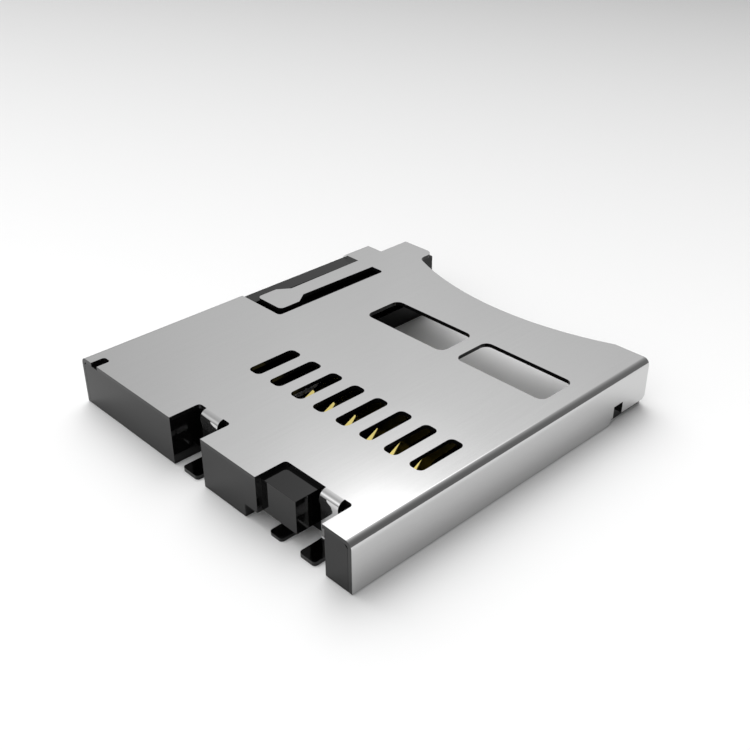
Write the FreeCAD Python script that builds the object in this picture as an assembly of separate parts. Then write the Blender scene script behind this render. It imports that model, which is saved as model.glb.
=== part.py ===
import FreeCAD, Part
import math
import os

Vector = FreeCAD.Vector

# A push-push socket for a small memory card, 14 mm wide, that is soldered flat on a board.
# Millimetres. X runs along the rear face, Y from the rear (solder feet) to the card mouth, Z up.
# The origin is the middle of the underside, on the board.

# Overall size, but for the width, which follows from the card and the channel beside it
depth = 15.2
height = 1.85

# Folded cover
sheet = 0.15
cover_bend = 0.25
cover_play = 0.01
board_gap = 0.02

# Card that the socket takes: its pads, and the step in its left side that the slider meets
pitch = 1.1
contact_count = 8
card_margin = 1.00
card_step = 1.30
card_play = 0.10

# Contacts
contact_width = 0.40
contact_offset = 0.06
contact_sheet = 0.12
contact_bend = 0.30
contact_tip_from_rear = 4.45
contact_tip_height = 0.227
contact_knee_from_rear = 5.54
contact_knee_height = 0.725
contact_crown_from_rear = 6.75
contact_crown_height = 0.80
contact_root_from_rear = 7.60
contact_root_height = 0.36
tail_bend = 0.08
tail_drop = 0.25
tail_length = 0.95

# Openings in the cover over the contacts and over their tails
window_width = 0.58
window_length = 1.98
window_corner = 0.20
window_from_rear = 4.66
tail_window_length = 3.89
tail_window_width = 1.68
tail_window_gap = 0.62
tail_window_corner = 0.30
tail_window_from_rear = 10.17

# Rear edge of the cover: two notches, a rolled tab with a solder foot in each, and a small slot
notch_depth = 1.19
notch_corner = 0.13
left_notch_from_left = 6.25
left_notch_width = 1.68
left_tab_width = 0.90
right_notch_from_right = 2.69
right_notch_width = 2.99
right_tab_from_right = 1.96
right_tab_width = 0.80
tab_roll = 0.13
foot_bend = 0.10
foot_narrowing = 0.05
foot_corner = 0.12
foot_setback = 0.01
rear_slot_from_left = 0.82
rear_slot_width = 0.38
rear_slot_depth = 0.55
rear_slot_corner = 0.12

# Leaf arm cut from the cover over the slider, which holds the cam pin down
arm_offset = 0.075
arm_opening_rear = 6.97
arm_opening_back = 2.79
arm_opening_half_width = 1.066
arm_opening_corner = 0.15
arm_opening_height = 1.30
arm_root_width = 0.84
arm_neck_width = 0.72
arm_neck_from_rear = 8.75
arm_shoulder_from_rear = 8.25
arm_head_width = 1.42
arm_head_from_rear = 7.32
arm_head_corner = 0.20

# Mouth edge of the cover
mouth_step_from_left = 0.98
mouth_step_back = 1.476
mouth_tab_width = 1.636
mouth_tab_corner = 0.35
mouth_fillet = 0.35
mouth_arc_radius = 12.54
mouth_arc_offset = -0.397
mouth_arc_back = 1.938
mouth_flat_back = 1.025

# Side walls of the cover near the mouth
wall_lift = 0.25
wall_lift_back = 3.01
wall_notch_back = 2.92
wall_notch_length = 0.51
wall_notch_height = 0.70
wall_corner = 0.13

# Moulding
floor_thickness = 0.25
rail_top = 0.78
rail_gap = 0.16
divider = 0.39
channel_width = 1.47
left_wall = 0.57
left_rail_to_contact = 1.10
right_rail_width = 0.69
top_chamfer = 0.12
lug_inset = 0.06
rear_wall = 0.70
cross_wall = 0.50
divider_from_rear = 6.98
bar_from_rear = 8.13
bar_thickness = 1.50
floor_slot_width = 0.60
rear_relief_height = 0.50
left_block_relief = 0.61
switch_block_from_right = 2.60
switch_block_setback = 0.215
switch_block_drop = 0.155
end_block_from_right = 1.11
channel_end_back = 1.50
mouth_block_setback = 0.02
left_rail_back = 1.42
rail_entry = 0.25
fit = 0.01

# Slider, with the cam track on its top and the finger that meets the card
slider_play = 0.05
slide_gap = 0.02
slider_from_rear = 5.70
slider_travel = 3.60
finger_length = 1.00
finger_reach = 0.65
finger_top = 1.50
finger_gap = 0.04
post_diameter = 0.50
post_length = 1.20
track_depth = 0.35
track_play = 0.04

# Cam pin
pin_diameter = 0.20
pin_bend = 0.20
pin_gap = 0.04
pin_over_slider = 0.06
pin_tip_gap = 0.03
pin_length = 6.40
pin_swing = 6.70
pivot_back = 1.00
pivot_depth = 0.66
pivot_play = 0.03

# Eject spring
spring_wire = 0.14
spring_diameter = 0.96
spring_turns = 8
spring_play = 0.02

# Catch spring on the slider
catch_sheet = 0.08
catch_height = 0.45
catch_lift = 0.15
catch_bend = 0.12
catch_root_from_nose = 0.75
catch_root_depth = 0.85
catch_straight = 0.40
catch_rise = 1.10
catch_return = 0.90
catch_return_width = 0.45
catch_card_gap = 0.10

# Card switch: a fixed terminal, and a blade that the card presses on to it
switch_sheet = 0.12
switch_bend = 0.08
switch_bottom = 0.95
switch_top = 1.40
fixed_foot_from_right = 3.39
fixed_foot_width = 0.58
fixed_leg_from_rear = 1.72
fixed_arm_straight = 0.40
fixed_arm_reach = 0.60
fixed_arm_end_from_rear = 2.65
blade_foot_from_right = 4.52
blade_foot_width = 0.40
blade_foot_setback = 1.00
blade_leg_from_rear = 1.98
blade_straight = 0.25
blade_crown_from_right = 1.85
blade_crown_from_rear = 3.75
blade_end_from_right = 0.55
blade_end_from_rear = 3.10
switch_corner = 0.15
switch_boss_side = 0.25
switch_boss_height = 0.90

# Places that follow from the sizes above
card_width = pitch * (contact_count - 1) + 2 * card_margin + card_step
left_side = sheet + cover_play + left_wall + channel_width + divider + rail_gap
width = left_side + card_width + card_play + sheet
half = width / 2
rear = -depth / 2
mouth = depth / 2
ceiling = height - sheet
inside = half - sheet - cover_play
card_right = half - sheet - card_play
card_left = card_right - card_width
card_nose_left = card_left + card_step
row_x = (card_nose_left + card_right) / 2
first_window_x = row_x - pitch * (contact_count - 1) / 2
first_contact_x = first_window_x + contact_offset
rail_x = first_contact_x - contact_width / 2 - left_rail_to_contact
divider_right = card_left - rail_gap
divider_left = divider_right - divider
channel_left = divider_left - channel_width
channel_x = channel_left + channel_width / 2
left_notch_x = left_notch_from_left - half
right_notch_x = half - right_notch_from_right
right_tab_x = half - right_tab_from_right
rear_slot_x = rear_slot_from_left - half
mouth_step_x = mouth_step_from_left - half
mouth_tab_right = mouth_step_x + mouth_tab_width
mouth_arc_x = (card_left + card_right) / 2 + mouth_arc_offset
switch_block_right = half - switch_block_from_right
end_block_left = half - end_block_from_right
fixed_foot_x = half - fixed_foot_from_right
blade_foot_x = half - blade_foot_from_right
floor_top = board_gap + floor_thickness
arm_x = channel_x - arm_offset
pivot_y = mouth - pivot_back
pin_radius = pin_diameter / 2
pin_z = ceiling - pin_gap - pin_radius
slider_top = pin_z - pin_radius - pin_over_slider
slider_bottom = floor_top + slide_gap
slider_rear = rear + slider_from_rear
channel_front = mouth - channel_end_back
over = 1.0


def box(x0, x1, y0, y1, z0, z1):
    return Part.makeBox(x1 - x0, y1 - y0, z1 - z0, Vector(x0, y0, z0))


def rounded_edges(corners, closed):
    """Straight edges and tangent arcs through corners, each a point and a radius."""
    count = len(corners)
    stops = []
    for i, (point, radius) in enumerate(corners):
        at_end = not closed and i in (0, count - 1)
        if radius <= 0 or at_end:
            stops.append((point, None, point))
            continue
        to_last = (corners[i - 1][0] - point).normalize()
        to_next = (corners[(i + 1) % count][0] - point).normalize()
        half_angle = to_last.getAngle(to_next) / 2
        reach = radius / math.tan(half_angle)
        centre = point + (to_last + to_next).normalize() * (radius / math.sin(half_angle))
        middle = centre + (point - centre).normalize() * radius
        stops.append((point + to_last * reach, middle, point + to_next * reach))
    edges = []
    for i, (start, middle, end) in enumerate(stops):
        if middle is not None:
            edges.append(Part.Arc(start, middle, end).toShape())
        if closed or i < count - 1:
            next_start = stops[(i + 1) % count][0]
            if end.distanceToPoint(next_start) > 1e-6:
                edges.append(Part.makeLine(end, next_start))
    return edges


def prism(corners, direction):
    """A solid on a closed outline of corner points and radii."""
    wire = Part.Wire(rounded_edges(corners, True))
    return Part.Face(wire).extrude(direction)


def upright(corners, z0, z1):
    """A solid whose plan is given as (x, y, radius) corners."""
    return prism([(Vector(x, y, z0), r) for x, y, r in corners], Vector(0, 0, z1 - z0))


def rounded_opening(x, y, size_x, size_y, radius, z0, z1):
    dx, dy = size_x / 2, size_y / 2
    plan = [(x - dx, y - dy), (x + dx, y - dy), (x + dx, y + dy), (x - dx, y + dy)]
    return upright([(px, py, radius) for px, py in plan], z0, z1)


def offset_corner(last, point, after, distance):
    """Where the corner of a line moves when the line is offset to its left."""
    first = (point - last).normalize()
    second = (after - point).normalize()
    left = Vector(-first.y, first.x, 0)
    next_left = Vector(-second.y, second.x, 0)
    middle = (left + next_left).normalize()
    return point + middle * (distance / middle.dot(left))


def strip_outline(line, thickness, bend):
    """Plan corners (u, v, radius) of a bent strip that follows a line of (u, v) points."""
    points = [Vector(u, v, 0) for u, v in line]
    sides = {1: [], -1: []}
    for i, point in enumerate(points):
        last = points[i - 1] if i > 0 else point * 2 - points[1]
        after = points[i + 1] if i < len(points) - 1 else point * 2 - points[i - 1]
        turn = (point - last).cross(after - point).z
        for side in sides:
            inner = bend if turn * side > 0 else bend + thickness
            radius = 0 if i in (0, len(points) - 1) else inner
            corner = offset_corner(last, point, after, side * thickness / 2)
            sides[side].append((corner.x, corner.y, radius))
    return sides[1] + sides[-1][::-1]


def strip_across(line, thickness, bend, x0, x1):
    """A strip bent in a plane across X, from (y, z) points."""
    outline = strip_outline(line, thickness, bend)
    return prism([(Vector(x0, u, v), r) for u, v, r in outline], Vector(x1 - x0, 0, 0))


def strip_on_edge(line, thickness, bend, z0, z1):
    """A strip that stands on edge, from (x, y) points."""
    return upright(strip_outline(line, thickness, bend), z0, z1)


def bent_wire(corners, diameter):
    """Round wire along corner points and radii."""
    edges = rounded_edges(corners, False)
    start = corners[0][0]
    along = corners[1][0] - start
    ring = Part.Wire([Part.makeCircle(diameter / 2, start, along)])
    return Part.Wire(edges).makePipeShell([ring], True, True)


def cover_channel():
    """The cover before it is pierced: a flat top with both side walls folded down."""
    inner_bend = cover_bend - sheet
    outer = [(-half, board_gap, 0), (-half, height, cover_bend), (half, height, cover_bend)]
    outer += [(half, board_gap, 0)]
    inner = [(half - sheet, board_gap, 0), (half - sheet, ceiling, inner_bend)]
    inner += [(sheet - half, ceiling, inner_bend), (sheet - half, board_gap, 0)]
    corners = [(Vector(x, rear, z), r) for x, z, r in outer + inner]
    return prism(corners, Vector(0, depth, 0))


def mouth_cutters():
    """What the mouth edge leaves out: a step at the left, then the curved finger recess."""
    step_y = mouth - mouth_step_back
    step = box(-half - over, mouth_step_x, step_y, mouth + over, -over, height + over)
    centre = Vector(mouth_arc_x, mouth - mouth_arc_back + mouth_arc_radius, 0)
    inner = mouth_arc_radius - mouth_fillet
    fillet_x = mouth_tab_right + mouth_fillet
    fillet_y = centre.y - math.sqrt(inner ** 2 - (fillet_x - centre.x) ** 2)
    fillet_centre = Vector(fillet_x, fillet_y, 0)
    meet = centre + (fillet_centre - centre).normalize() * mouth_arc_radius
    flat_y = mouth - mouth_flat_back
    flat_x = centre.x + math.sqrt(mouth_arc_radius ** 2 - (centre.y - flat_y) ** 2)
    bottom = centre - Vector(0, mouth_arc_radius, 0)
    tangent = Vector(mouth_tab_right, fillet_y, 0)
    turn = (tangent + meet) * 0.5 - fillet_centre
    fillet_middle = fillet_centre + turn.normalize() * mouth_fillet
    corner_start = Vector(mouth_tab_right - mouth_tab_corner, mouth, 0)
    corner_end = Vector(mouth_tab_right, mouth - mouth_tab_corner, 0)
    corner_centre = Vector(corner_start.x, corner_end.y, 0)
    diagonal = Vector(1, 1, 0).normalize() * mouth_tab_corner
    far = mouth + over
    edges = [
        Part.makeLine(Vector(corner_start.x, far, 0), corner_start),
        Part.Arc(corner_start, corner_centre + diagonal, corner_end).toShape(),
        Part.makeLine(corner_end, tangent),
        Part.Arc(tangent, fillet_middle, meet).toShape(),
        Part.Arc(meet, bottom, Vector(flat_x, flat_y, 0)).toShape(),
        Part.makeLine(Vector(flat_x, flat_y, 0), Vector(half + over, flat_y, 0)),
        Part.makeLine(Vector(half + over, flat_y, 0), Vector(half + over, far, 0)),
        Part.makeLine(Vector(half + over, far, 0), Vector(corner_start.x, far, 0)),
    ]
    recess = Part.Face(Part.Wire(edges)).extrude(Vector(0, 0, height + 2 * over))
    recess.translate(Vector(0, 0, -over))
    return [step, recess]


def rear_cutters():
    """The two notches and the small slot in the cover's rear edge."""
    low, high = ceiling - over / 2, height + over
    cutters = []
    for x, size in ((left_notch_x, left_notch_width), (right_notch_x, right_notch_width)):
        x0, x1 = x - size / 2, x + size / 2
        end = rear + notch_depth
        plan = [(x0, rear - over, 0), (x1, rear - over, 0), (x1, end, notch_corner)]
        cutters.append(upright(plan + [(x0, end, notch_corner)], low, high))
    x0, x1 = rear_slot_x - rear_slot_width / 2, rear_slot_x + rear_slot_width / 2
    end = rear + rear_slot_depth
    plan = [(x0, rear - over, 0), (x1, rear - over, 0), (x1, end, rear_slot_corner)]
    cutters.append(upright(plan + [(x0, end, rear_slot_corner)], low, high))
    return cutters


def window_cutters():
    low, high = ceiling - over / 2, height + over
    y = rear + window_from_rear
    cutters = []
    for i in range(contact_count):
        x = first_window_x + pitch * i
        cutters.append(rounded_opening(x, y, window_width, window_length, window_corner, low, high))
    y = rear + tail_window_from_rear
    for side in (-1, 1):
        x = row_x + side * (tail_window_length + tail_window_gap) / 2
        size = (tail_window_length, tail_window_width)
        cutters.append(rounded_opening(x, y, *size, tail_window_corner, low, high))
    return cutters


def arm_cutter():
    """The opening round the leaf arm, which runs out through the left fold."""
    y0 = rear + arm_opening_rear
    y1 = mouth - arm_opening_back
    right = arm_x + arm_opening_half_width
    low, high = ceiling - over / 2, height + over
    corner = arm_opening_corner
    left = sheet - half
    plan = [(left, y0, 0), (right, y0, corner), (right, y1, corner), (left, y1, 0)]
    opening = upright(plan, low, high)
    side = box(-half - over, left, y0, y1, arm_opening_height, high)
    root, neck, head = arm_root_width / 2, arm_neck_width / 2, arm_head_width / 2
    neck_y, shoulder_y = rear + arm_neck_from_rear, rear + arm_shoulder_from_rear
    head_y = rear + arm_head_from_rear
    right_edge = [(root, y1 + over, 0), (root, y1, 0), (neck, neck_y, 0), (head, shoulder_y, 0)]
    right_edge += [(head, head_y, arm_head_corner)]
    left_edge = [(-x, y, r) for x, y, r in right_edge[::-1]]
    arm = upright([(arm_x + x, y, r) for x, y, r in right_edge + left_edge], low, high)
    return opening.cut(arm).fuse(side)


def wall_cutters():
    """The lifted lower edge of both side walls near the mouth, with a notch in it."""
    lift_y, notch_y = mouth - wall_lift_back, mouth - wall_notch_back
    ends = {-1: mouth - mouth_step_back, 1: mouth - mouth_flat_back}
    cutters = []
    for side, end in ends.items():
        x0, x1 = sorted((side * (half - sheet - over / 4), side * (half + over)))
        low = board_gap - over
        line = [(lift_y - wall_lift, low), (lift_y - wall_lift / 2, board_gap)]
        line += [(lift_y, wall_lift / 2 + board_gap), (lift_y, wall_lift), (end + over, wall_lift)]
        line += [(end + over, low)]
        corners = [(Vector(x0, y, z), 0) for y, z in line]
        cutters.append(prism(corners, Vector(x1 - x0, 0, 0)))
        notch_end = notch_y + wall_notch_length
        cutters.append(box(x0, x1, notch_y, notch_end, low, wall_notch_height))
        tip = [(end - wall_corner, wall_lift), (end, wall_lift), (end, wall_lift + wall_corner)]
        corners = [(Vector(x0, y, z), 0) for y, z in tip]
        cutters.append(prism(corners, Vector(x1 - x0, 0, 0)))
    return cutters


def rolled_tab(x, tab_width):
    """A tab rolled down from the notch's edge into a leg, with a solder foot at its end."""
    root = rear + notch_depth
    leg = root - tab_roll - sheet / 2
    top_z, foot_z = height - sheet / 2, sheet / 2
    foot_end = rear + foot_setback
    line = [(root, top_z), (leg, top_z), (leg, foot_z), (foot_end, foot_z)]
    tab = strip_outline(line, sheet, foot_bend)
    roll = {1: tab_roll, 6: tab_roll + sheet}
    tab = [(u, v, roll.get(i, r)) for i, (u, v, r) in enumerate(tab)]
    tab = prism([(Vector(x - tab_width / 2, u, v), r) for u, v, r in tab], Vector(tab_width, 0, 0))
    waist = ceiling - tab_roll - sheet
    foot = tab_width / 2 - foot_narrowing
    for side in (-1, 1):
        x0, x1 = sorted((x + side * foot, x + side * (tab_width / 2 + over)))
        tab = tab.cut(box(x0, x1, foot_end - over, root, -over, waist))
        corner = x + side * foot
        outer = [(corner, foot_end, foot_corner), (corner - side * foot_corner * 2, foot_end, 0)]
        outer += [(corner - side * foot_corner * 2, foot_end - over, 0)]
        outer += [(corner + side * over, foot_end - over, 0)]
        outer += [(corner + side * over, foot_end + foot_corner * 2, 0)]
        outer += [(corner, foot_end + foot_corner * 2, 0)]
        tab = tab.cut(upright(outer, -over, sheet * 2))
    return tab


def make_cover():
    cover = cover_channel()
    cutters = mouth_cutters() + rear_cutters() + window_cutters() + wall_cutters()
    cover = cover.cut(cutters + [arm_cutter()])
    tabs = [rolled_tab(left_notch_x, left_tab_width), rolled_tab(right_tab_x, right_tab_width)]
    return cover.fuse(tabs).removeSplitter()


def contact_line():
    """Centre line of a contact, from its free tip over a knee and the crown to its solder tail."""
    tail_z = contact_sheet / 2
    bar_end = rear + bar_from_rear + bar_thickness
    step = bar_end + contact_sheet
    foot = step + tail_drop
    return [
        (rear + contact_tip_from_rear, contact_tip_height),
        (rear + contact_knee_from_rear, contact_knee_height),
        (rear + contact_crown_from_rear, contact_crown_height),
        (rear + contact_root_from_rear, contact_root_height),
        (step, contact_root_height),
        (foot, tail_z),
        (foot + tail_length, tail_z),
    ]


def make_contact(index):
    x = first_contact_x + pitch * index
    outline = strip_outline(contact_line(), contact_sheet, contact_bend)
    last = len(contact_line()) - 1
    corners = []
    for i, (u, v, r) in enumerate(outline):
        station = i if i <= last else 2 * last + 1 - i
        in_tail = station in (last - 2, last - 1)
        corners.append((u, v, r - contact_bend + tail_bend if in_tail else r))
    x0 = x - contact_width / 2
    return prism([(Vector(x0, u, v), r) for u, v, r in corners], Vector(contact_width, 0, 0))


def switch_leg(x, size, foot_y, leg_y):
    """A solder foot and a leg, folded from one strip."""
    foot_z = switch_sheet / 2
    line = [(foot_y, foot_z), (leg_y, foot_z), (leg_y, switch_top)]
    return strip_across(line, switch_sheet, switch_bend, x - size / 2, x + size / 2)


def make_switch_blade():
    y = rear + blade_leg_from_rear
    leg = switch_leg(blade_foot_x, blade_foot_width, rear + blade_foot_setback, y)
    start = blade_foot_x - blade_foot_width / 2
    knee = blade_foot_x + blade_foot_width / 2 + blade_straight
    crown = (half - blade_crown_from_right, rear + blade_crown_from_rear)
    end = (half - blade_end_from_right, rear + blade_end_from_rear)
    line = [(start, y), (knee, y), crown, end]
    blade = strip_on_edge(line, switch_sheet, switch_corner, switch_bottom, switch_top)
    return leg.fuse(blade).removeSplitter()


def make_switch_terminal():
    y = rear + fixed_leg_from_rear
    foot_y = rear + foot_setback
    leg = switch_leg(fixed_foot_x, fixed_foot_width, foot_y, y)
    start = fixed_foot_x - fixed_foot_width / 2
    knee = start + fixed_foot_width + fixed_arm_straight
    arm_end = (knee + fixed_arm_reach, rear + fixed_arm_end_from_rear)
    line = [(start, y), (knee, y), arm_end]
    arm = strip_on_edge(line, switch_sheet, switch_corner, switch_bottom, switch_top)
    terminal = leg.fuse(arm).removeSplitter()
    for side in (-1, 1):
        corner = fixed_foot_x + side * fixed_foot_width / 2
        plan = [(corner, foot_y, foot_corner), (corner - side * foot_corner * 2, foot_y, 0)]
        plan += [(corner - side * foot_corner * 2, foot_y - over, 0)]
        plan += [(corner + side * over, foot_y - over, 0)]
        plan += [(corner + side * over, foot_y + foot_corner * 2, 0)]
        plan += [(corner, foot_y + foot_corner * 2, 0)]
        terminal = terminal.cut(upright(plan, -over, switch_sheet * 2))
    return terminal


def rear_blocks():
    """The moulding's rear blocks, which fill the cover's rear edge between its notches."""
    z0, z1 = board_gap, ceiling
    wall_y = rear + notch_depth + fit
    left_x0, left_x1 = -inside, left_notch_x - left_notch_width / 2
    middle_x0 = left_notch_x + left_notch_width / 2
    middle_x1 = right_notch_x - right_notch_width / 2
    relief_x = middle_x1 - left_block_relief
    blocks = [
        box(left_x0, left_x1, rear, wall_y, z0, z1),
        box(middle_x0, middle_x1, rear, wall_y, z0, z1),
        box(end_block_left, inside, rear, wall_y, z0, z1),
        box(-inside, inside, wall_y, wall_y + cross_wall, z0, z1),
        box(middle_x1, switch_block_right, rear + switch_block_setback, wall_y,
            rear_relief_height, height - switch_block_drop),
    ]
    relief = box(relief_x, switch_block_right, rear - over, wall_y, -over, rear_relief_height)
    return blocks, relief


def channel_blocks():
    """Walls of the slider's channel and the solid block at its mouth end."""
    z0, z1 = board_gap, ceiling
    block_end = mouth - mouth_block_setback
    step_y = mouth - mouth_step_back
    return [
        box(-inside, channel_left, rear, step_y, z0, z1),
        box(-inside, divider_right, rear, channel_front, z0, floor_top),
        box(divider_left, divider_right, rear + divider_from_rear, block_end, z0, z1),
        box(mouth_step_x, divider_right, channel_front, block_end, z0, z1),
        box(-inside, mouth_step_x, channel_front, step_y, z0, z1),
    ]


def deck_blocks():
    """Floor under the card, the rails that it slides on and the bar that holds the contacts."""
    z0 = board_gap
    wall_y = rear + notch_depth + fit
    bar_y = rear + bar_from_rear
    bar_end = bar_y + bar_thickness
    left_rail_end = mouth - left_rail_back
    right_rail_end = mouth - mouth_flat_back - fit
    right_rail_x = inside - right_rail_width
    return [
        box(divider_right, inside, wall_y, bar_end, z0, floor_top),
        box(divider_right, rail_x, wall_y, left_rail_end, z0, rail_top),
        box(right_rail_x, inside, wall_y, right_rail_end, z0, rail_top),
        box(rail_x, right_rail_x, bar_y, bar_end, z0, rail_top),
    ]


def contact_cutters():
    """Tunnels through the bar, and slots in the floor where the sprung ends go down."""
    bar_y = rear + bar_from_rear
    bar_end = bar_y + bar_thickness
    half_sheet = contact_sheet / 2 + fit
    cutters = []
    for i in range(contact_count):
        x = first_contact_x + pitch * i
        side = contact_width / 2 + fit
        z0, z1 = contact_root_height - half_sheet, contact_root_height + half_sheet
        cutters.append(box(x - side, x + side, bar_y - over, bar_end + over, z0, z1))
        slot = floor_slot_width / 2
        y0 = rear + contact_tip_from_rear - slot
        cutters.append(box(x - slot, x + slot, y0, bar_y, -over, floor_top + fit))
    return cutters


def switch_boss():
    """The low block in front of the rear wall that the switch blade's leg stands in."""
    wall_y = rear + notch_depth + fit + cross_wall
    x0 = blade_foot_x - blade_foot_width / 2 - switch_boss_side
    x1 = blade_foot_x + blade_foot_width / 2 + switch_boss_side
    y1 = rear + blade_leg_from_rear + switch_sheet / 2 + switch_boss_side / 2
    return box(x0, x1, wall_y, y1, board_gap, switch_boss_height)


def switch_cutters():
    """Ways for both switch feet under the rear wall, and slots for their legs."""
    half_sheet = switch_sheet / 2 + fit
    cutters = []
    feet = [(blade_foot_x, blade_foot_width, blade_leg_from_rear)]
    feet += [(fixed_foot_x, fixed_foot_width, fixed_leg_from_rear)]
    for x, size, leg_from_rear in feet:
        x0, x1 = x - size / 2 - fit, x + size / 2 + fit
        leg = rear + leg_from_rear
        cutters.append(box(x0, x1, rear - over, leg + half_sheet, -over, 2 * switch_sheet))
        cutters.append(box(x0, x1, leg - half_sheet, leg + half_sheet, -over, height))
    return cutters


def pin_cutters():
    """The pivot hole of the cam pin, and the recess that its wire swings in."""
    radius = pin_radius + pivot_play
    hole_z = pin_z - pivot_depth - pin_tip_gap
    hole = Part.makeCylinder(radius, ceiling - hole_z + over, Vector(arm_x, pivot_y, hole_z))
    swing = math.sin(math.radians(pin_swing)) * (pivot_y - channel_front)
    side = radius + swing
    low = pin_z - pin_radius - pin_over_slider
    recess = box(arm_x - side, arm_x + side, channel_front - over, pivot_y + radius, low, height)
    return [hole, recess]


def chamfer_cutters():
    """Long chamfers that clear the inside of the cover's folds."""
    cutters = []
    for side in (-1, 1):
        fold, past, flat = side * inside, side * (inside + over), side * (inside - top_chamfer)
        points = [(fold, ceiling - top_chamfer), (past, ceiling - top_chamfer)]
        points += [(past, ceiling + over), (flat, ceiling + over), (flat, ceiling)]
        corners = [(Vector(x, rear - over, z), 0) for x, z in points]
        cutters.append(prism(corners, Vector(0, depth + 2 * over, 0)))
    return cutters


def entry_cutters():
    """Slopes at the front ends of both rails that lift the card in."""
    cutters = []
    ends = [(divider_right, rail_x, mouth - left_rail_back)]
    ends += [(inside - right_rail_width, inside, mouth - mouth_flat_back - fit)]
    for x0, x1, end in ends:
        points = [(end - rail_entry, rail_top), (end, rail_top - rail_entry), (end, rail_top)]
        corners = [(Vector(x0, y, z), 0) for y, z in points]
        cutters.append(prism(corners, Vector(x1 - x0, 0, 0)))
    return cutters


def side_lug():
    """The lug on the left wall that the cover's opening snaps over, and that shows in it."""
    x0, x1 = lug_inset - half, top_chamfer - inside + fit
    y0, y1 = rear + arm_opening_rear + fit, mouth - arm_opening_back - fit
    return box(x0, x1, y0, y1, arm_opening_height + fit, ceiling)


def make_housing():
    blocks, relief = rear_blocks()
    solids = blocks + channel_blocks() + deck_blocks() + [switch_boss()]
    housing = solids[0].fuse(solids[1:])
    channel = box(channel_left, divider_left, rear + rear_wall, channel_front, floor_top, height)
    finger_room = box(divider_left - fit, divider_right, rear + rear_wall + cross_wall,
                      rear + divider_from_rear, floor_top, height)
    finger_path = box(divider_left, card_nose_left + finger_reach + finger_gap,
                      rear + slider_from_rear - slider_travel - finger_gap,
                      rear + divider_from_rear, rail_top, height)
    cutters = [relief, channel, finger_room, finger_path]
    cutters += contact_cutters() + switch_cutters() + pin_cutters()
    cutters += chamfer_cutters() + entry_cutters()
    return housing.cut(cutters).fuse(side_lug()).removeSplitter()


def pin_tip(travel):
    """Plan position of the pin's tip when the slider has gone that far in."""
    angle = math.radians(pin_swing * (travel / slider_travel - 0.5))
    x = arm_x + pin_length * math.sin(angle)
    return Vector(x, pivot_y - pin_length * math.cos(angle), 0)


def track_lane(start, end, low):
    """A round-ended groove between two plan points."""
    radius = pin_radius + track_play
    across = (end - start).cross(Vector(0, 0, 1)).normalize() * radius
    plan = [start + across, end + across, end - across, start - across]
    lane = upright([(p.x, p.y, 0) for p in plan], low, slider_top + over)
    reach = slider_top + over - low
    ends = [Part.makeCylinder(radius, reach, Vector(p.x, p.y, low)) for p in (start, end)]
    return lane.fuse(ends)


def make_slider():
    """Bar in the channel with a cam track, a post for the spring and a finger for the card."""
    front = channel_front - slide_gap
    left, right = channel_left + slider_play, divider_left - slider_play
    bar = box(left, right, slider_rear, front, slider_bottom, slider_top)
    finger_end = card_nose_left + finger_reach
    finger = box(right - fit, finger_end, slider_rear, slider_rear + finger_length,
                 rail_top + finger_gap, finger_top)
    post_z = (floor_top + slider_top) / 2
    post = Part.makeCylinder(post_diameter / 2, post_length,
                             Vector(channel_x, slider_rear, post_z), Vector(0, -1, 0))
    low = slider_top - track_depth
    start = pin_tip(0)
    end = pin_tip(slider_travel) + Vector(0, slider_travel, 0)
    back = start + Vector(0, slider_travel * 0.64, 0)
    latch = (start + end) * 0.5 + Vector(-track_play * 2.5, slider_travel * 0.33, 0)
    lanes = [track_lane(start, end, low), track_lane(start, back, low)]
    lanes += [track_lane(back, latch, low), track_lane(latch, end, low)]
    root = catch_sheet / 2 + fit
    front_y = slider_rear + finger_length
    catch_root_x = card_nose_left - catch_root_from_nose
    slot = box(catch_root_x - root, catch_root_x + root, front_y - catch_root_depth - fit,
               front_y + over, rail_top + catch_lift - fit, finger_top + over)
    return bar.fuse([finger, post]).cut(lanes + [slot]).removeSplitter()


def make_catch_spring():
    """Leaf set in the slider's finger, bowed towards the side of the card."""
    front_y = slider_rear + finger_length
    catch_root_x = card_nose_left - catch_root_from_nose
    crown_x = card_nose_left - catch_card_gap
    line = [
        (catch_root_x, front_y - catch_root_depth),
        (catch_root_x, front_y + catch_straight),
        (crown_x, front_y + catch_straight + catch_rise),
        (crown_x - catch_return_width, front_y + catch_straight + catch_rise + catch_return),
    ]
    low = rail_top + catch_lift
    return strip_on_edge(line, catch_sheet, catch_bend, low, low + catch_height)


def make_cam_pin():
    tip = pin_tip(0)
    pivot = Vector(arm_x, pivot_y, 0)
    tip_z = slider_top - track_depth + pin_tip_gap
    corners = [
        (pivot + Vector(0, 0, pin_z - pivot_depth), 0),
        (pivot + Vector(0, 0, pin_z), pin_bend),
        (tip + Vector(0, 0, pin_z), pin_bend),
        (tip + Vector(0, 0, tip_z), 0),
    ]
    return bent_wire(corners, pin_diameter)


def make_eject_spring():
    """Coil between the rear wall and the slider, round the slider's post."""
    start = rear + rear_wall + spring_play + spring_wire / 2
    end = slider_rear - spring_play - spring_wire / 2
    radius = (spring_diameter - spring_wire) / 2
    length = end - start
    helix = Part.makeHelix(length / spring_turns, length, radius)
    ring = Part.Wire([Part.makeCircle(spring_wire / 2, Vector(radius, 0, 0), Vector(0, 1, 0))])
    coil = Part.Wire(helix).makePipeShell([ring], True, True)
    coil.rotate(Vector(0, 0, 0), Vector(1, 0, 0), -90)
    coil.translate(Vector(channel_x, start, (floor_top + slider_top) / 2))
    return coil


def write(name, shape):
    solid = shape.Solids[0] if len(shape.Solids) == 1 else shape
    solid.exportStep("parts/" + name + ".step")
    print(name, len(shape.Solids), "solid", round(shape.Volume, 4), "mm3", shape.isValid())


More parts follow.
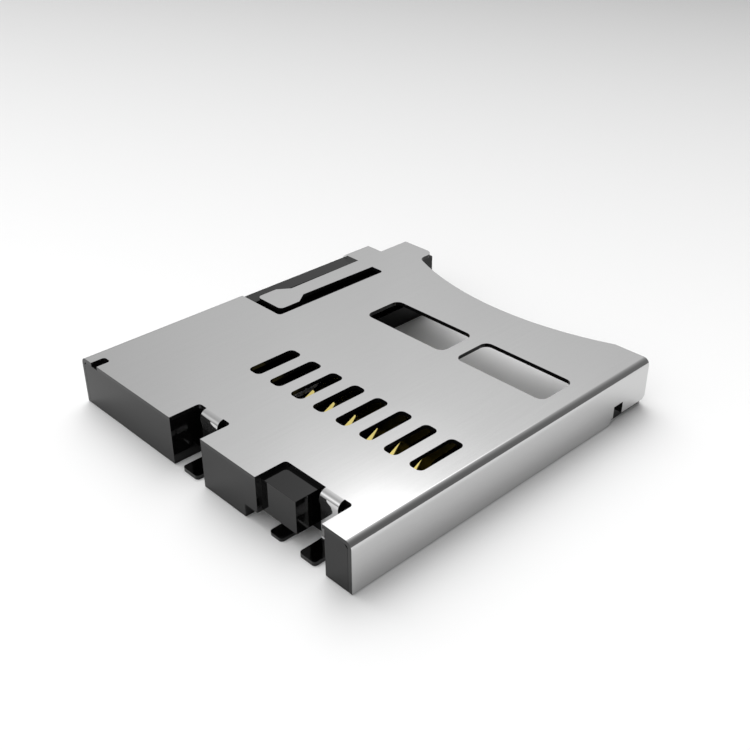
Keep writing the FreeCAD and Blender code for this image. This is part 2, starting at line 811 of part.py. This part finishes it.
os.makedirs("parts", exist_ok=True)
write("cover", make_cover())
write("housing", make_housing())
for index in range(contact_count):
    write("contact_" + str(index + 1), make_contact(index))
write("switch_blade", make_switch_blade())
write("switch_terminal", make_switch_terminal())
write("card_slider", make_slider())
write("catch_spring", make_catch_spring())
write("cam_pin", make_cam_pin())
write("eject_spring", make_eject_spring())
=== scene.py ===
import math

import bpy
from mathutils import Euler, Matrix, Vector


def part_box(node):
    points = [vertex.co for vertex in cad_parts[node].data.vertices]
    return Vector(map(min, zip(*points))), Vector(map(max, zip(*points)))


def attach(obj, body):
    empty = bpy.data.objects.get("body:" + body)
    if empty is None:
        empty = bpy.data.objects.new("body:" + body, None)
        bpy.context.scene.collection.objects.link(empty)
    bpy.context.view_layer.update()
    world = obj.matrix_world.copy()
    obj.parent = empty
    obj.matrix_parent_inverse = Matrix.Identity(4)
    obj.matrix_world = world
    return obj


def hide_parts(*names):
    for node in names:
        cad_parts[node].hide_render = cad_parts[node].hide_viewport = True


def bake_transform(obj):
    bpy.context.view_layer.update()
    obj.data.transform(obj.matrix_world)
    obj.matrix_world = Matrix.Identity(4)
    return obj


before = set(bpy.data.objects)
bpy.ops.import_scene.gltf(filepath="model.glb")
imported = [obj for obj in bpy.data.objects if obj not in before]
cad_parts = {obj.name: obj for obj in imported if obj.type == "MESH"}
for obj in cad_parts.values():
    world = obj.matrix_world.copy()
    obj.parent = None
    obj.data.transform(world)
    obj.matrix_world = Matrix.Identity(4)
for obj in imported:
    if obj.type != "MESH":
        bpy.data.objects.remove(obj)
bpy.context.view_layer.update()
bpy.ops.object.select_all(action="DESELECT")


# Camera: a 50 mm lens about 35 mm from the socket, which looks down over its rear right corner.
# The socket is only 14 mm wide, so this is a close-up.
mm = 0.001
look_down, look_round, roll = 31.182, 46.323, -0.214
bpy.ops.object.camera_add(location=(23.143 * mm, -22.108 * mm, 20.296 * mm))
camera = bpy.context.object
aim = Euler((math.radians(90 - look_down), 0, math.radians(look_round))).to_matrix()
camera.rotation_euler = (aim @ Matrix.Rotation(math.radians(roll), 3, "Z")).to_euler()
camera.data.sensor_width = 36
camera.data.lens = 50.19
camera.data.clip_start = mm
camera.data.clip_end = 5
bpy.context.scene.camera = camera
bpy.context.scene.view_settings.view_transform = "Standard"


# Studio: pale walls, a softbox overhead and three small lamps round a sweep of white paper.
# The bright steel mirrors all of it, so the tones by direction set the look of the metal.
def linear(code):
    """An sRGB hex colour as the linear RGBA that a shader takes."""
    parts = [int(code[i:i + 2], 16) / 255 for i in (0, 2, 4)]
    return [p / 12.92 if p <= 0.04045 else ((p + 0.055) / 1.055) ** 2.4 for p in parts] + [1]


def add_node(tree, kind, settings=None, values=None, links=None, stops=()):
    """A node with its settings, the values of its sockets, what feeds them and a ramp's stops."""
    made = tree.nodes.new(kind)
    for name, setting in (settings or {}).items():
        setattr(made, name, setting)
    for socket, value in (values or {}).items():
        made.inputs[socket].default_value = value
    for socket, source in (links or {}).items():
        tree.links.new(source, made.inputs[socket])
    if stops:
        ramp = made.color_ramp.elements
        while len(ramp) < len(stops):
            ramp.new(0.5)
        for stop, (place, code) in zip(ramp, stops):
            stop.position = place
            stop.color = linear(code)
    return made


def new_finish(name):
    """A new material named for the real finish, with its nodes and its shader."""
    finish = bpy.data.materials.new(name)
    finish.use_nodes = True
    return finish, finish.node_tree, finish.node_tree.nodes["Principled BSDF"]


studio = bpy.data.worlds.new("studio")
studio.use_nodes = True
tree = studio.node_tree
tree.nodes.clear()
towards = add_node(tree, "ShaderNodeTexCoord")


def tones_towards(direction, shift, stops):
    """The studio's tones along one direction, as stops of a place on it and the tone there."""
    reach = add_node(studio.node_tree, "ShaderNodeVectorMath", {"operation": "DOT_PRODUCT"},
                     {1: direction}, {0: towards.outputs["Generated"]})
    place = add_node(studio.node_tree, "ShaderNodeMath", values={1: shift},
                     links={0: reach.outputs["Value"]})
    ramp = add_node(studio.node_tree, "ShaderNodeValToRGB", links={"Fac": place.outputs["Value"]},
                    stops=stops)
    return ramp.outputs["Color"]


# Walls: palest above the sides of the socket and darkest beyond its mouth
walls = tones_towards((0.1075, 0.4765, 0.1075), 0.5, [
    (0.050, "CECECE"), (0.300, "CBCBCB"), (0.500, "D2D2D2"), (0.640, "D5D5D5"), (0.670, "DCDCDC"),
    (0.700, "E0E0E0"), (0.740, "DDDDDD"), (0.770, "D2D2D2"), (0.785, "CFCFCF"), (0.800, "C8C8C8"),
    (0.820, "BCBCBC"), (0.840, "B1B1B1"), (0.860, "A7A7A7"), (0.885, "A2A2A2"), (0.956, "A4A4A4"),
])

# Softbox: brightest in a band overhead and dimmer down both sides, most on the socket's right
softbox = tones_towards((0.4125, 0.15, 0.2395), 0.5, [
    (0.050, "9B9B9B"), (0.225, "A8A8A8"), (0.350, "B6B6B6"), (0.380, "B9B9B9"), (0.410, "C1C1C1"),
    (0.440, "CDCDCD"), (0.475, "DADADA"), (0.505, "EBEBEB"), (0.540, "FBFBFB"), (0.560, "FFFFFF"),
    (0.623, "F4F4F4"), (0.713, "CDCDCD"), (0.803, "B2B2B2"), (0.894, "949494"), (0.984, "7F7F7F"),
])
both = add_node(tree, "ShaderNodeVectorMath", {"operation": "MULTIPLY"}, links={0: walls, 1: softbox})

# Corner lamp: a soft spot high up on the left beyond the mouth. The plate mirrors it at its rear
# right corner, which turns white.
studio_power, corner_power = 2.03, 1.5
corner_lamp = tones_towards((-54.9, 53.0, 64.7), -99.0, [
    (0.027, "000000"), (0.452, "5F5F5F"), (0.692, "878787"), (0.863, "C0C0C0"), (0.966, "FFFFFF"),
])
with_corner = add_node(tree, "ShaderNodeMath", {"operation": "MULTIPLY_ADD"},
                       {1: corner_power, 2: studio_power}, {0: corner_lamp})

# Strip lamp: a narrow strip beside that spot, which draws a white line along the right-hand fold
strip_power = 2.4
strip_width = tones_towards((1.0, 0.0, 0.888), 0.0, [
    (0.012, "000000"), (0.030, "FFFFFF"), (0.090, "FFFFFF"), (0.185, "000000"),
])
strip_length = tones_towards((0.0, 1.0, 0.0), 0.0, [
    (0.400, "000000"), (0.500, "FFFFFF"), (0.625, "FFFFFF"), (0.690, "000000"),
])
strip_lamp = add_node(tree, "ShaderNodeMath", {"operation": "MULTIPLY"}, {1: strip_power},
                      {0: strip_width})
with_strip = add_node(tree, "ShaderNodeMath", {"operation": "MULTIPLY_ADD"}, links={
    0: strip_lamp.outputs["Value"], 1: strip_length, 2: with_corner.outputs["Value"]})

# Rear lamp: a soft spot behind the socket on its left, which the rolled tabs mirror as a stripe
rear_power = 4.5
rear_lamp = tones_towards((-5.6, -6.8, 4.7), -9.0, [
    (0.063, "000000"), (0.336, "424242"), (0.613, "6F6F6F"), (0.816, "A7A7A7"), (0.962, "E6E6E6"),
    (1.000, "FFFFFF"),
])
with_rear = add_node(tree, "ShaderNodeMath", {"operation": "MULTIPLY_ADD"}, {1: rear_power},
                     {0: rear_lamp, 2: with_strip.outputs["Value"]})
glow = add_node(tree, "ShaderNodeBackground",
                links={"Color": both.outputs["Vector"], "Strength": with_rear.outputs["Value"]})
add_node(tree, "ShaderNodeOutputWorld", links={"Surface": glow.outputs["Background"]})
bpy.context.scene.world = studio

# Fill: wide soft light from above on the left, which lights paper and plastic but isn't mirrored
bpy.ops.object.light_add(type="SUN", rotation=(0, math.radians(-40), math.radians(-25)))
fill = bpy.context.object
fill.name = "soft_fill"
fill.data.energy = 2.04
fill.data.angle = math.radians(70)
fill.visible_glossy = False

# Paper: matt white with a fine nap. Its colour is painted darker over the first 90 mm beyond the
# mouth: painted shade where the light falls off.
bpy.ops.mesh.primitive_plane_add(size=2.4, location=(0, 0, 0))
sweep = bpy.context.object
sweep.name = "white_sweep"
matt_paper, tree, shader = new_finish("matt_white_paper")
shader.inputs["Specular IOR Level"].default_value = 0.1
beyond_mouth = (-2.6, 6.3, 0)
fibre_size = 0.25 * mm
place = add_node(tree, "ShaderNodeTexCoord")
distance = add_node(tree, "ShaderNodeVectorMath", {"operation": "DOT_PRODUCT"},
                    {1: beyond_mouth}, {0: place.outputs["Object"]})
falloff = add_node(tree, "ShaderNodeMapRange", values={"From Max": 0.6},
                   links={"Value": distance.outputs["Value"]})
# Painted shade: the base colour darkens from F1F1F1 to A6A6A6 with distance beyond the mouth
painted_falloff_shade = add_node(tree, "ShaderNodeValToRGB", links={"Fac": falloff.outputs["Result"]},
                  stops=[(0.0, "F1F1F1"), (1.0, "A6A6A6")])
fibre = add_node(tree, "ShaderNodeTexNoise", values={"Scale": 1 / fibre_size, "Detail": 2.0},
                 links={"Vector": place.outputs["Object"]})
nap = add_node(tree, "ShaderNodeMapRange", values={"To Min": 0.8, "To Max": 0.9},
               links={"Value": fibre.outputs["Fac"]})
tree.links.new(painted_falloff_shade.outputs["Color"], shader.inputs["Base Color"])
tree.links.new(nap.outputs["Result"], shader.inputs["Roughness"])
sweep.data.materials.append(matt_paper)


# Cover: one sheet of 304 stainless steel, 0.15 mm thick, bright outside and dull inside. It is
# punched, which leaves sharp dark edges, then folded down at both sides and snapped on the moulding.
def dressed_copy(node, name, edge=0, sharp=30):
    """A merged copy of a CAD node, with what is sharper than that many degrees broken by edge metres."""
    piece = bpy.data.objects.new(name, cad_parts[node].data.copy())
    bpy.context.collection.objects.link(piece)
    bpy.ops.object.select_all(action="DESELECT")
    bpy.context.view_layer.objects.active = piece
    piece.select_set(True)
    bpy.ops.object.mode_set(mode="EDIT")
    bpy.ops.mesh.select_all(action="SELECT")
    bpy.ops.mesh.remove_doubles(threshold=0.0002 * mm)
    bpy.ops.mesh.dissolve_limited(angle_limit=math.radians(0.5))
    bpy.ops.object.mode_set(mode="OBJECT")
    if edge:
        rounding = piece.modifiers.new("broken_edges", "BEVEL")
        rounding.width = edge
        rounding.segments = 2
        rounding.limit_method = "ANGLE"
        rounding.angle_limit = math.radians(sharp)
        rounding.miter_outer = "MITER_ARC"
        bpy.ops.object.modifier_apply(modifier="broken_edges")
    smooth_margin = 8
    bpy.ops.object.shade_smooth_by_angle(angle=math.radians(sharp + smooth_margin))
    flats = piece.modifiers.new("true_flats", "WEIGHTED_NORMAL")
    flats.keep_sharp = True
    flats.weight = 100
    bpy.ops.object.modifier_apply(modifier="true_flats")
    piece.data.materials.clear()
    return piece


cover = dressed_copy("cover", "cover_sheet", sharp=34)

# Bright rolled outside: a near mirror with faint lines along the rolling
roll_line_gap, roll_line_length = 0.0625 * mm, 2 * mm
along_rolling = (1 / roll_line_gap, 1 / roll_line_length, 1 / roll_line_gap)
rolled_steel, tree, shader = new_finish("bright_rolled_stainless")
shader.inputs["Metallic"].default_value = 1
place = add_node(tree, "ShaderNodeTexCoord")
stretch = add_node(tree, "ShaderNodeMapping", values={"Scale": along_rolling},
                   links={"Vector": place.outputs["Object"]})
roll_lines = add_node(tree, "ShaderNodeTexNoise", values={"Scale": 1.0, "Detail": 3.0},
                      links={"Vector": stretch.outputs["Vector"]})
sheen = add_node(tree, "ShaderNodeMapRange", values={"To Min": 0.05, "To Max": 0.08},
                 links={"Value": roll_lines.outputs["Fac"]})
tone = add_node(tree, "ShaderNodeValToRGB", links={"Fac": roll_lines.outputs["Fac"]},
                stops=[(0.25, "CACACA"), (0.75, "CCCCCC")])
lay = add_node(tree, "ShaderNodeBump", values={"Strength": 0.006, "Distance": 0.002 * mm},
               links={"Height": roll_lines.outputs["Fac"]})
tree.links.new(sheen.outputs["Result"], shader.inputs["Roughness"])
tree.links.new(tone.outputs["Color"], shader.inputs["Base Color"])
tree.links.new(lay.outputs["Normal"], shader.inputs["Normal"])

# Sheared edge: smeared by the punch through the sheet, so that it looks dark with a faint gloss
tear_gap, tear_stretch = 0.05 * mm, 0.075
sheared_steel, tree, shader = new_finish("sheared_stainless_edge")
shader.inputs["Specular IOR Level"].default_value = 0.34
place = add_node(tree, "ShaderNodeTexCoord")
stretch = add_node(tree, "ShaderNodeMapping", links={"Vector": place.outputs["Object"]},
                   values={"Scale": (1 / tear_gap, 1 / tear_gap, tear_stretch / tear_gap)})
tears = add_node(tree, "ShaderNodeTexNoise", values={"Scale": 1.0, "Detail": 2.0},
                 links={"Vector": stretch.outputs["Vector"]})
smear = add_node(tree, "ShaderNodeMapRange", values={"To Min": 0.06, "To Max": 0.11},
                 links={"Value": tears.outputs["Fac"]})
tone = add_node(tree, "ShaderNodeValToRGB", links={"Fac": tears.outputs["Fac"]},
                stops=[(0.3, "0E0E0E"), (0.7, "131313")])
tree.links.new(smear.outputs["Result"], shader.inputs["Roughness"])
tree.links.new(tone.outputs["Color"], shader.inputs["Base Color"])

# Dull side of the sheet: the same rolling lines without the polish, which mirror only a haze
dull_steel, tree, shader = new_finish("dull_side_of_rolled_stainless")
shader.inputs["Metallic"].default_value = 1
place = add_node(tree, "ShaderNodeTexCoord")
stretch = add_node(tree, "ShaderNodeMapping", values={"Scale": along_rolling},
                   links={"Vector": place.outputs["Object"]})
roll_lines = add_node(tree, "ShaderNodeTexNoise", values={"Scale": 1.0, "Detail": 3.0},
                      links={"Vector": stretch.outputs["Vector"]})
haze = add_node(tree, "ShaderNodeMapRange", values={"To Min": 0.4, "To Max": 0.5},
                links={"Value": roll_lines.outputs["Fac"]})
tone = add_node(tree, "ShaderNodeValToRGB", links={"Fac": roll_lines.outputs["Fac"]},
                stops=[(0.25, "747472"), (0.75, "7A7A78")])
tree.links.new(haze.outputs["Result"], shader.inputs["Roughness"])
tree.links.new(tone.outputs["Color"], shader.inputs["Base Color"])

cover_low, cover_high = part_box("cover")
sheet, near = 0.15 * mm, 0.01 * mm
inner_height = cover_high.z - sheet
square_on, edge_on, turned = 0.95, 0.05, 0.3


def sheared(face):
    """Whether a face of the sheet is a cut edge: on a side wall, round the flat top or on a tab."""
    normal, centre = face.normal, face.center
    if abs(centre.x) > cover_high.x - sheet - near:
        return abs(normal.y) > square_on or (abs(normal.z) > square_on and centre.z < inner_height)
    if centre.z > inner_height - near:
        return abs(normal.z) < edge_on
    return abs(normal.x) > turned or (normal.y < -square_on and centre.y < cover_low.y + 3 * near)


for finish in (rolled_steel, sheared_steel, dull_steel):
    cover.data.materials.append(finish)
for face in cover.data.polygons:
    inner = face.normal.z < -square_on and face.center.z > inner_height - near
    face.material_index = 2 if inner else int(sheared(face))
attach(cover, "socket")
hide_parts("cover")


# Housing: one moulding of black glass-filled nylon from a polished mould, which leaves it glossy
# and its edges broken by 0.008 mm. The cover snaps over it.
housing = dressed_copy("housing", "housing_moulding", edge=0.008 * mm)

# Moulded nylon: deep black under a glossy skin that is slightly uneven
skin_grain = 0.25 * mm
black_nylon, tree, shader = new_finish("glossy_moulded_black_nylon")
shader.inputs["Base Color"].default_value = linear("090909")
shader.inputs["IOR"].default_value = 1.53
shader.inputs["Specular IOR Level"].default_value = 0.25
place = add_node(tree, "ShaderNodeTexCoord")
skin = add_node(tree, "ShaderNodeTexNoise", values={"Scale": 1 / skin_grain, "Detail": 4.0},
                links={"Vector": place.outputs["Object"]})
gloss = add_node(tree, "ShaderNodeMapRange", values={"To Min": 0.03, "To Max": 0.07},
                 links={"Value": skin.outputs["Fac"]})
ripple = add_node(tree, "ShaderNodeBump", values={"Strength": 0.05, "Distance": 0.01 * mm},
                  links={"Height": skin.outputs["Fac"]})
tree.links.new(gloss.outputs["Result"], shader.inputs["Roughness"])
tree.links.new(ripple.outputs["Normal"], shader.inputs["Normal"])

housing.data.materials.append(black_nylon)
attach(housing, "socket")
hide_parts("housing")


# Contacts: eight strips of phosphor bronze, 0.12 mm thick, plated with gold and pressed into
# the moulding's bar. Each rises to a crown under an opening and dips to a free tip.
plating_grain = mm / 12
gold_plate, tree, shader = new_finish("gold_plated_bronze")
shader.inputs["Metallic"].default_value = 1
place = add_node(tree, "ShaderNodeTexCoord")
plating = add_node(tree, "ShaderNodeTexNoise", values={"Scale": 1 / plating_grain, "Detail": 3.0},
                   links={"Vector": place.outputs["Object"]})
warmth = add_node(tree, "ShaderNodeValToRGB", links={"Fac": plating.outputs["Fac"]},
                  stops=[(0.3, "EBD780"), (0.7, "F4E28E")])
polish = add_node(tree, "ShaderNodeMapRange", values={"To Min": 0.03, "To Max": 0.06},
                  links={"Value": plating.outputs["Fac"]})
tree.links.new(warmth.outputs["Color"], shader.inputs["Base Color"])
tree.links.new(polish.outputs["Result"], shader.inputs["Roughness"])

for node in sorted(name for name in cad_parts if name.startswith("contact_")):
    strip = dressed_copy(node, node + "_strip")
    strip.data.materials.append(gold_plate)
    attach(strip, "socket")
    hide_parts(node)


# Slider: a small moulding of the same black nylon, which runs in the channel beside the card and
# carries the cam track. Its edges are broken by 0.025 mm, so that it slides freely.
slider = dressed_copy("card_slider", "slider_moulding", edge=0.025 * mm)
slider.data.materials.append(black_nylon)
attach(slider, "slider")
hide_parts("card_slider")


# Card switch: a sprung blade and a fixed terminal, both punched from bright stainless strip and
# pressed into the moulding. Only their feet on the board have dark sheared edges.
foot_top = 0.2 * mm
for node in ("switch_blade", "switch_terminal"):
    strip = dressed_copy(node, node + "_strip")
    strip.data.materials.append(rolled_steel)
    strip.data.materials.append(sheared_steel)
    for face in strip.data.polygons:
        face.material_index = int(face.center.z < foot_top and sheared(face))
    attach(strip, "socket")
    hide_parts(node)


# Springs and cam pin: drawn stainless wire and strip. The catch spring is set in the slider's
# finger, the pin drops into the cam track, and the coil lies behind the slider.
catch = dressed_copy("catch_spring", "catch_leaf", edge=0.008 * mm)

# Drawn stainless: bright but satin, with the fine lines that the die leaves along it
die_line_gap, die_line_stretch = 0.05 * mm, 0.075
drawn_steel, tree, shader = new_finish("bright_drawn_stainless")
shader.inputs["Metallic"].default_value = 1
place = add_node(tree, "ShaderNodeTexCoord")
stretch = add_node(tree, "ShaderNodeMapping", links={"Vector": place.outputs["Object"]}, values={
    "Scale": (1 / die_line_gap, die_line_stretch / die_line_gap, 1 / die_line_gap)})
die_lines = add_node(tree, "ShaderNodeTexNoise", values={"Scale": 1.0, "Detail": 2.0},
                     links={"Vector": stretch.outputs["Vector"]})
satin = add_node(tree, "ShaderNodeMapRange", values={"To Min": 0.2, "To Max": 0.32},
                 links={"Value": die_lines.outputs["Fac"]})
tone = add_node(tree, "ShaderNodeValToRGB", links={"Fac": die_lines.outputs["Fac"]},
                stops=[(0.3, "A8A8A6"), (0.7, "BCBCBA")])
tree.links.new(satin.outputs["Result"], shader.inputs["Roughness"])
tree.links.new(tone.outputs["Color"], shader.inputs["Base Color"])

catch.data.materials.append(drawn_steel)
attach(catch, "slider")
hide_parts("catch_spring")

pin = dressed_copy("cam_pin", "cam_pin_wire")
pin.data.materials.append(drawn_steel)
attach(pin, "pin")
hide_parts("cam_pin")

coil = dressed_copy("eject_spring", "eject_coil", sharp=50)
coil.data.materials.append(drawn_steel)
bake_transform(coil)
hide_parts("eject_spring")
